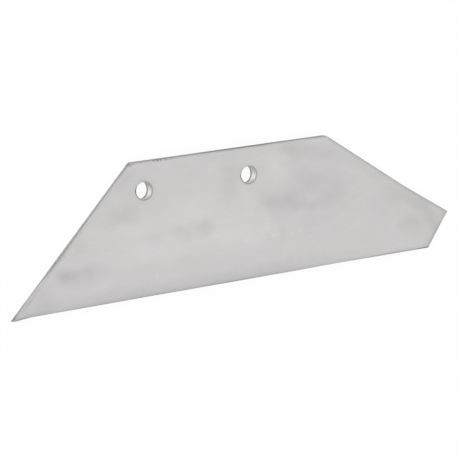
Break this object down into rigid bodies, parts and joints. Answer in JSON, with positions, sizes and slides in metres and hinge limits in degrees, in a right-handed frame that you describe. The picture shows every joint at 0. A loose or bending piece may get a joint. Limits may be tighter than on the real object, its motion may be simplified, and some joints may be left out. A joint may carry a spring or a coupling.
{
  "type": "plough share",
  "caption": "Flat steel plough share blade with a long sloping wing, a blunt angled nose and punched bolt holes along its back edge.",
  "frame": {"origin": "bottom centre of the blade's bounding box, in the plane of the underside", "axes": "+X along the cutting edge from the wing tip to the nose, +Y from the cutting edge to the back edge with the bolt holes, +Z out of the worked face"},
  "size_m": [0.341, 0.0924, 0.008],
  "materials": {
    "blade_steel": "bare mill-finish steel, satin, lightly smudged"
  },
  "bodies": {
    "root": {"share_blade": "blade_steel"}
  },
  "joints": []
}
